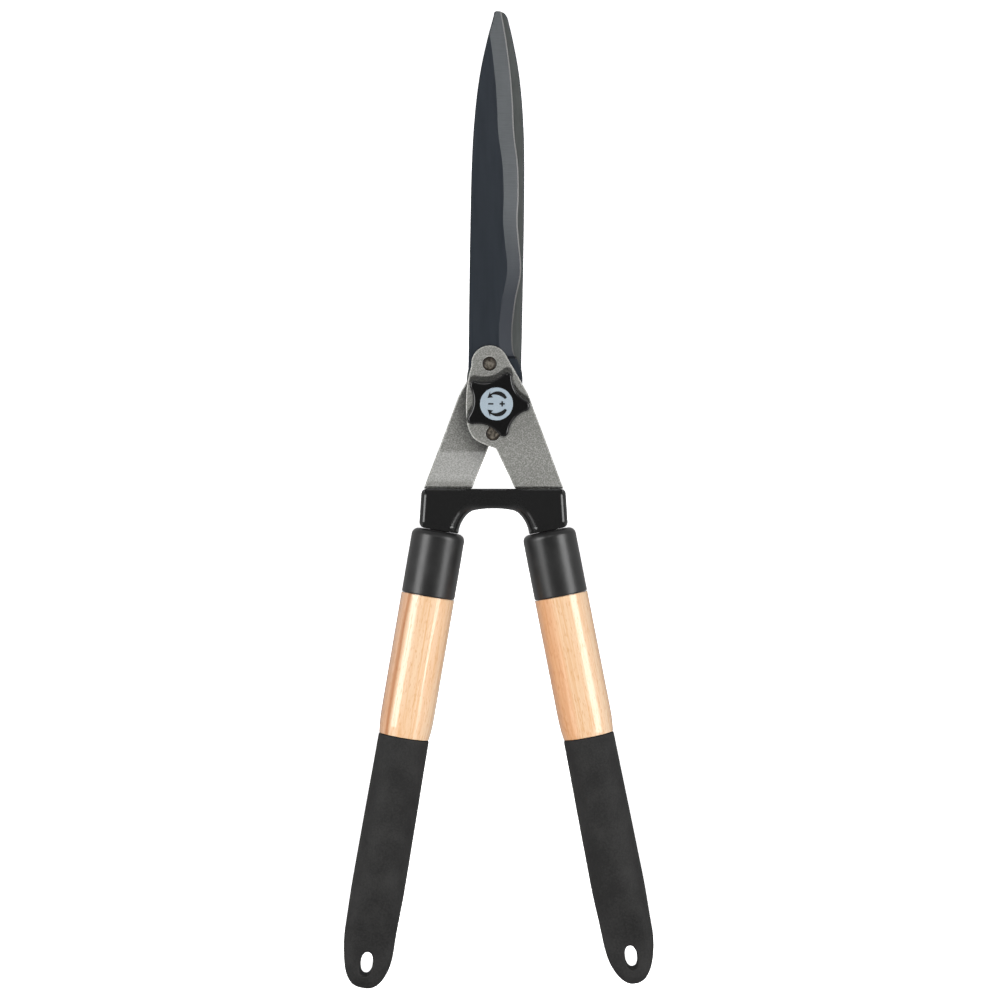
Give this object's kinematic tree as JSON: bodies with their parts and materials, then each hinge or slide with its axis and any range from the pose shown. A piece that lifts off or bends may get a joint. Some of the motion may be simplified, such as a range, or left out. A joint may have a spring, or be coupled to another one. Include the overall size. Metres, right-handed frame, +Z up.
{
  "type": "hedge shears",
  "caption": "Two-handed hedge shears with wavy-edged blades, riveted arms, star tension knob, wooden handles and rubber grips.",
  "frame": {"origin": "on the surface that the shears lie on, under the middle of their bounding box", "axes": "+Y towards the blade tips, +Z up out of the tension knob's side, +X to the right-hand handle; the shears lie closed on their back"},
  "size_m": [0.1776, 0.5596, 0.0399],
  "materials": {
    "blade_steel": "satin dark blue-grey coating, ground bevel",
    "arm_hammertone": "silver-grey hammertone paint",
    "rivet_steel": "dark bronze, domed",
    "zinc_steel": "bright zinc plate",
    "knob_plastic": "glossy black",
    "label_film": "satin light blue film",
    "bumper_plastic": "glossy black, moulded",
    "ferrule_plastic": "satin black, moulded",
    "varnished_wood": "clear gloss varnish over light wood",
    "grip_rubber": "matt dark grey, fine texture"
  },
  "bodies": {
    "left_half": {"rear_blade": "blade_steel", "rear_arm": "arm_hammertone", "rear_upper_rivet": "rivet_steel", "rear_lower_rivet": "rivet_steel", "pivot_bolt": "zinc_steel", "spring_washer": "zinc_steel", "left_bumper": "bumper_plastic", "left_ferrule": "ferrule_plastic", "left_handle": "varnished_wood", "left_grip": "grip_rubber"},
    "right_half": {"front_blade": "blade_steel", "front_arm": "arm_hammertone", "front_upper_rivet": "rivet_steel", "front_lower_rivet": "rivet_steel", "right_bumper": "bumper_plastic", "right_ferrule": "ferrule_plastic", "right_handle": "varnished_wood", "right_grip": "grip_rubber"},
    "tension_washer": {"thrust_washer": "zinc_steel"},
    "tension_knob": {"knob": "knob_plastic", "knob_nut": "zinc_steel", "knob_label": "label_film"}
  },
  "joints": [
    {"name": "blade_pivot", "type": "hinge", "parent": "left_half", "child": "right_half", "pos_m": [-0.00123, 0.05422, 0.01535], "axis": [0, 0, 1], "range_deg": [0, 75]},
    {"name": "washer_lift", "type": "slide", "parent": "left_half", "child": "tension_washer", "axis": [0, 0, 1], "range_m": [0, 0.0013]},
    {"name": "knob_turn", "type": "hinge", "parent": "tension_washer", "child": "tension_knob", "pos_m": [-0.00123, 0.05422, 0.0263], "axis": [0, 0, 1], "range_deg": [0, 360]}
  ],
  "couplings": [
    {"joint": "washer_lift", "follows": "knob_turn", "m_per_rad": 0.00019894}
  ]
}
